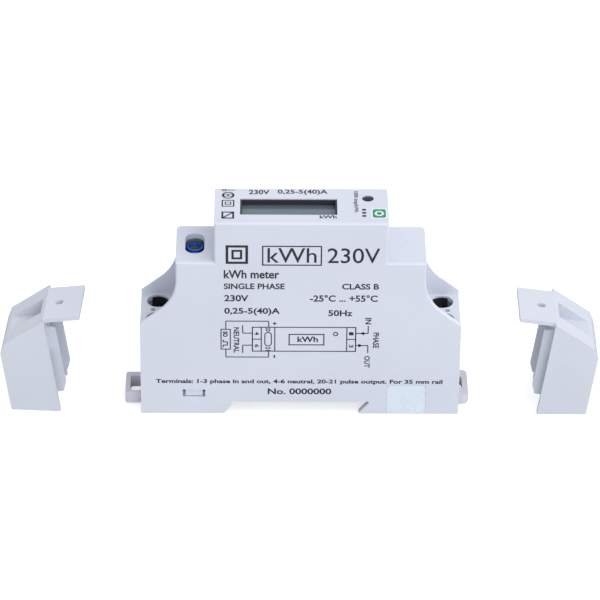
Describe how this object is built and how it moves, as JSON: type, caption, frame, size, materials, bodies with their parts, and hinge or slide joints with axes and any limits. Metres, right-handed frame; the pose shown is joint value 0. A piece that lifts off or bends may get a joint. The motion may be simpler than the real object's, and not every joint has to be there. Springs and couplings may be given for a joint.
{
  "type": "rail-mounted kilowatt-hour meter",
  "caption": "One-module single-phase electricity meter for a 35 mm rail, with display, screw terminals, rail clips and two terminal covers standing beside it.",
  "frame": {"origin": "on the base plane, centred along the length and across the module width", "axes": "+X along the length to the phase terminals, +Y across the module width away from the printed side, +Z out of the rail to the front face"},
  "size_m": [0.1572, 0.0196, 0.0593],
  "materials": {
    "case_plastic": "fine satin moulding, cool light grey",
    "cover_plastic": "fine satin moulding",
    "clip_plastic": "satin moulding, mid grey",
    "seal_foil": "iridescent foil",
    "lcd_glass": "grey-green display, blank",
    "white_plastic": "smooth white",
    "clear_plastic": "frosted light guide",
    "lamp_lens": "dark tinted lens",
    "circuit_board": "green solder mask",
    "black_plastic": "moulded component body",
    "plated_steel": "zinc plated",
    "film_yellow": "capacitor case",
    "varistor_blue": "dipped coating",
    "resistor_body": "cement coating",
    "terminal_blue": "blue moulding",
    "copper": "bare copper strip",
    "manganin": "resistance alloy strip",
    "lead_red": "insulated lead",
    "lead_blue": "insulated lead",
    "lead_grey": "insulated lead",
    "print_ink": "pad-printed black ink",
    "print_green": "pad-printed green ink",
    "print_white": "pad-printed white ink",
    "dark_plastic": "dark grey display surround",
    "elastomer": "banded conductive rubber"
  },
  "bodies": {
    "meter_body": {"case_tub": "case_plastic", "case_lid": "case_plastic", "seal_sticker": "seal_foil", "display_bezel": "dark_plastic", "display_glass": "lcd_glass", "display_frame": "white_plastic", "display_light_guide": "clear_plastic", "zebra_strip_near": "elastomer", "zebra_strip_far": "elastomer", "display_board": "circuit_board", "pulse_lamp": "lamp_lens", "main_board": "circuit_board", "board_header": "black_plastic", "metering_chip": "black_plastic", "controller_chip": "black_plastic", "memory_chip": "black_plastic", "quartz_crystal": "plated_steel", "film_capacitor": "film_yellow", "smoothing_capacitor": "black_plastic", "rectifier": "black_plastic", "varistor": "varistor_blue", "fuse_resistor": "resistor_body", "pulse_board": "circuit_board", "optocoupler": "black_plastic", "pulse_terminal_block": "terminal_blue", "current_shunt": "manganin", "neutral_link": "copper", "phase_lead": "lead_red", "neutral_lead": "lead_blue", "sense_lead": "lead_grey", "pole_barrier_left": "white_plastic", "pole_barrier_right": "white_plastic"},
    "pulse_screw_20": {"pulse_screw_20": "plated_steel"},
    "pulse_screw_21": {"pulse_screw_21": "plated_steel"},
    "rail_clip_left": {"rail_clip_left": "clip_plastic"},
    "rail_clip_right": {"rail_clip_right": "clip_plastic"},
    "terminal_cage_1": {"terminal_cage_1": "plated_steel"},
    "terminal_cage_3": {"terminal_cage_3": "plated_steel"},
    "terminal_cage_4": {"terminal_cage_4": "plated_steel"},
    "terminal_cage_6": {"terminal_cage_6": "plated_steel"},
    "terminal_cover_left": {"terminal_cover_left": "cover_plastic"},
    "terminal_cover_right": {"terminal_cover_right": "cover_plastic"},
    "terminal_screw_1": {"terminal_screw_1": "plated_steel"},
    "terminal_screw_3": {"terminal_screw_3": "plated_steel"},
    "terminal_screw_4": {"terminal_screw_4": "plated_steel"},
    "terminal_screw_6": {"terminal_screw_6": "plated_steel"}
  },
  "joints": [
    {"name": "cover_fit_left", "type": "hinge", "parent": "meter_body", "child": "terminal_cover_left", "pos_m": [-0.05258, 0, -0.14813], "axis": [0.028, 0.9149, 0.4026], "range_deg": [0, 8.68]},
    {"name": "cover_fit_right", "type": "hinge", "parent": "meter_body", "child": "terminal_cover_right", "pos_m": [0.0526, 0, -0.14835], "axis": [0, -1, 0], "range_deg": [0, 7.94]},
    {"name": "clip_pull_left", "type": "slide", "parent": "meter_body", "child": "rail_clip_left", "axis": [-1, 0, 0], "range_m": [0, 0.003], "stiffness_N_per_m": 1500},
    {"name": "clip_pull_right", "type": "slide", "parent": "meter_body", "child": "rail_clip_right", "axis": [1, 0, 0], "range_m": [0, 0.003], "stiffness_N_per_m": 1500},
    {"name": "screw_turn_1", "type": "hinge", "parent": "meter_body", "child": "terminal_screw_1", "pos_m": [0.0375, 0.0041, 0.022], "axis": [0, 0, -1], "range_deg": [0, 1581]},
    {"name": "cage_rise_1", "type": "slide", "parent": "meter_body", "child": "terminal_cage_1", "axis": [0, 0, 1], "range_m": [0, 0.0035]},
    {"name": "screw_turn_3", "type": "hinge", "parent": "meter_body", "child": "terminal_screw_3", "pos_m": [0.0375, -0.0041, 0.022], "axis": [0, 0, -1], "range_deg": [0, 1581]},
    {"name": "cage_rise_3", "type": "slide", "parent": "meter_body", "child": "terminal_cage_3", "axis": [0, 0, 1], "range_m": [0, 0.0035]},
    {"name": "screw_turn_4", "type": "hinge", "parent": "meter_body", "child": "terminal_screw_4", "pos_m": [-0.0375, 0.0041, 0.022], "axis": [0, 0, -1], "range_deg": [0, 1581]},
    {"name": "cage_rise_4", "type": "slide", "parent": "meter_body", "child": "terminal_cage_4", "axis": [0, 0, 1], "range_m": [0, 0.0035]},
    {"name": "screw_turn_6", "type": "hinge", "parent": "meter_body", "child": "terminal_screw_6", "pos_m": [-0.0375, -0.0041, 0.022], "axis": [0, 0, -1], "range_deg": [0, 1581]},
    {"name": "cage_rise_6", "type": "slide", "parent": "meter_body", "child": "terminal_cage_6", "axis": [0, 0, 1], "range_m": [0, 0.0035]},
    {"name": "pulse_screw_turn_20", "type": "hinge", "parent": "meter_body", "child": "pulse_screw_20", "pos_m": [-0.0276, -0.002, 0.042], "axis": [0, 0, -1], "range_deg": [0, 1440]},
    {"name": "pulse_screw_turn_21", "type": "hinge", "parent": "meter_body", "child": "pulse_screw_21", "pos_m": [-0.0276, 0.003, 0.042], "axis": [0, 0, -1], "range_deg": [0, 1440]}
  ],
  "couplings": [
    {"joint": "screw_turn_1", "follows": "cage_rise_1", "rad_per_m": 7854},
    {"joint": "screw_turn_3", "follows": "cage_rise_3", "rad_per_m": 7854},
    {"joint": "screw_turn_4", "follows": "cage_rise_4", "rad_per_m": 7854},
    {"joint": "screw_turn_6", "follows": "cage_rise_6", "rad_per_m": 7854}
  ]
}
